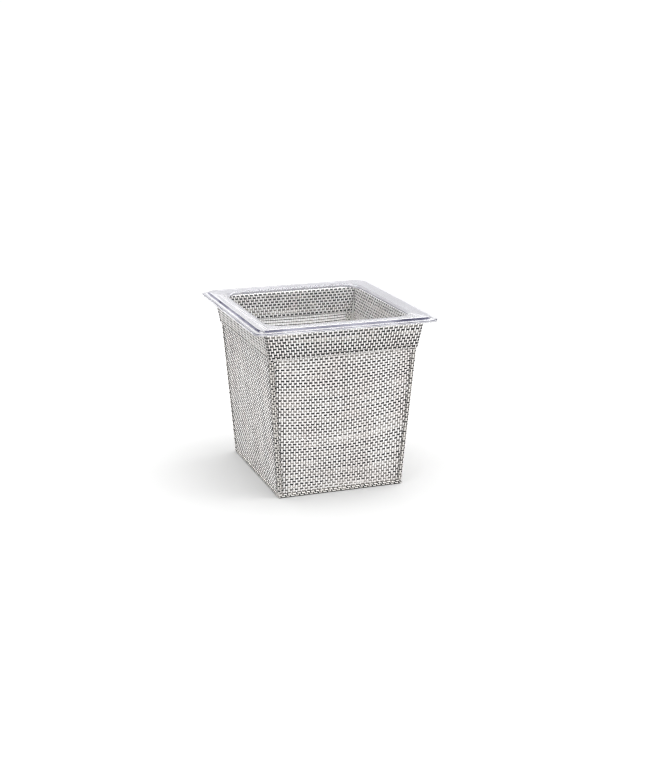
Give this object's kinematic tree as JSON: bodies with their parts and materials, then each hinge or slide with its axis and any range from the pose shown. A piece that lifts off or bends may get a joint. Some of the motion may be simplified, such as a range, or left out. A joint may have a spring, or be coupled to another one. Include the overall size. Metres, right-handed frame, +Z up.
{
  "type": "woven food pan basket",
  "caption": "Square tapered basket of woven vinyl mesh over a wire frame, holding a clear drop-in food pan that hangs by its rim and lifts straight out.",
  "frame": {"origin": "middle of the footprint on the table, at the lowest point of the basket", "axes": "+X to the right across the front, +Y from the front to the back along the rim's longer side, +Z up"},
  "size_m": [0.162, 0.176, 0.152],
  "materials": {
    "clear_plastic": "clear moulded, glossy",
    "woven_mesh": "woven vinyl yarn, off-white with grey and taupe",
    "band_mesh": "woven vinyl yarn, off-white with dark grey",
    "edging_mesh": "woven vinyl yarn cut on the slant",
    "frame_wire": "thin plastic coat",
    "thread": "twisted sewing thread"
  },
  "bodies": {
    "basket": {"top_hoop": "frame_wire", "bottom_hoop": "frame_wire", "post_front_left": "frame_wire", "post_front_right": "frame_wire", "post_back_left": "frame_wire", "post_back_right": "frame_wire", "front_panel": "woven_mesh", "back_panel": "woven_mesh", "left_panel": "woven_mesh", "right_panel": "woven_mesh", "base_panel": "woven_mesh", "front_band": "band_mesh", "back_band": "band_mesh", "left_band": "band_mesh", "right_band": "band_mesh", "corner_front_left": "edging_mesh", "corner_front_right": "edging_mesh", "corner_back_left": "edging_mesh", "corner_back_right": "edging_mesh", "front_base_edge": "edging_mesh", "back_base_edge": "edging_mesh", "left_base_edge": "edging_mesh", "right_base_edge": "edging_mesh", "band_stitching": "thread", "corner_stitching": "thread"},
    "pan": {"pan": "clear_plastic"}
  },
  "joints": [
    {"name": "pan_lift", "type": "slide", "parent": "basket", "child": "pan", "axis": [0, 0, 1], "range_m": [0, 0.16]}
  ]
}
